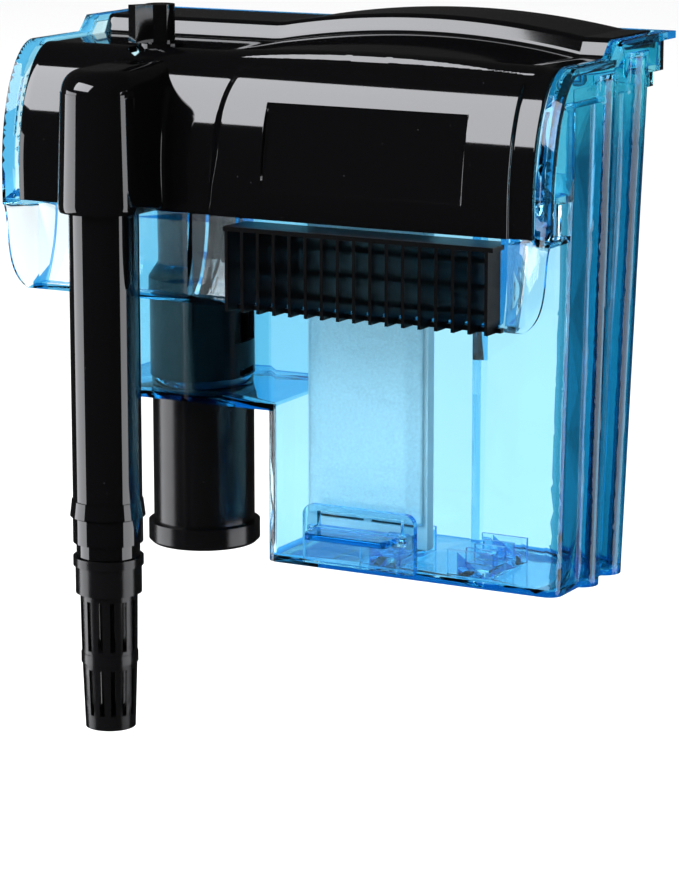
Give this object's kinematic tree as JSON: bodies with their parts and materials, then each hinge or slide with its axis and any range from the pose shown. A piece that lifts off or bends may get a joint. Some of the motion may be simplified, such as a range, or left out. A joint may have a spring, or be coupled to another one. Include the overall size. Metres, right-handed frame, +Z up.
{
  "type": "hang on back aquarium filter",
  "caption": "Power filter that hangs on an aquarium rim: clear tinted reservoir, lidded spillway with slotted screen, intake tube with strainer and impeller pump.",
  "frame": {"origin": "middle of the underside of the bridge, where the filter rests on the top edge of the tank wall", "axes": "+Z up; -Y into the aquarium, +Y away from it; +X along the tank wall from the intake towards the spillway"},
  "size_m": [0.2193, 0.1333, 0.2585],
  "materials": {
    "blue_clear": "clear tinted, glossy",
    "black_gloss": "high gloss",
    "black_satin": "satin",
    "rubber": "matt",
    "ceramic": "ground ceramic",
    "white_plastic": "satin",
    "ferrite": "sintered, dull",
    "steel": "stacked laminations",
    "copper": "enamelled winding wire",
    "resin": "cast resin",
    "floss": "loose fibre",
    "carbon": "granular"
  },
  "bodies": {
    "filter": {"filter_body": "blue_clear", "u_tube": "black_gloss", "tube_seal": "rubber", "knob_seal": "rubber", "tube_collar": "black_gloss", "impeller_cover": "black_satin", "upper_bush": "rubber", "lower_bush": "rubber", "impeller_shaft": "ceramic", "motor_housing": "black_satin", "motor_end_cap": "black_satin", "motor_seal": "rubber", "stator_core": "steel", "coil_bobbin": "white_plastic", "stator_coil": "copper", "potting_resin": "resin", "cable_gland": "rubber", "leveller_bracket": "blue_clear"},
    "lid": {"lid": "black_gloss"},
    "flow_control": {"flow_knob": "black_gloss", "flow_valve": "black_satin"},
    "rotor": {"impeller": "white_plastic", "rotor_magnet": "ferrite"},
    "extension": {"extension_tube": "black_gloss"},
    "strainer": {"strainer": "black_satin"},
    "screen": {"bio_screen": "black_satin"},
    "cartridge": {"cartridge_frame": "white_plastic", "floss_pad": "floss", "carbon_bed": "carbon"},
    "leveller": {"leveller_foot": "blue_clear"}
  },
  "joints": [
    {"name": "lid_lift", "type": "slide", "parent": "filter", "child": "lid", "axis": [0, 0, 1], "range_m": [0, 0.09]},
    {"name": "knob_turn", "type": "hinge", "parent": "filter", "child": "flow_control", "pos_m": [-0.058, 0.006, 0.045], "axis": [0, 0, 1], "range_deg": [0, 90]},
    {"name": "impeller_spin", "type": "hinge", "parent": "filter", "child": "rotor", "pos_m": [-0.058, 0.034, -0.1], "axis": [0, 0, 1], "continuous": true},
    {"name": "screen_pull", "type": "slide", "parent": "filter", "child": "screen", "axis": [0, -1, 0], "range_m": [0, 0.03]},
    {"name": "extension_slide", "type": "slide", "parent": "filter", "child": "extension", "axis": [0, 0, -1], "range_m": [0, 0.05]},
    {"name": "strainer_pull", "type": "slide", "parent": "extension", "child": "strainer", "axis": [0, 0, -1], "range_m": [0, 0.012]},
    {"name": "cartridge_lift", "type": "slide", "parent": "filter", "child": "cartridge", "axis": [0, 0, 1], "range_m": [0, 0.014]},
    {"name": "leveller_fold", "type": "hinge", "parent": "filter", "child": "leveller", "pos_m": [0.025, 0.0007, -0.1252], "axis": [-1, 0, 0], "range_deg": [0, 90]}
  ]
}
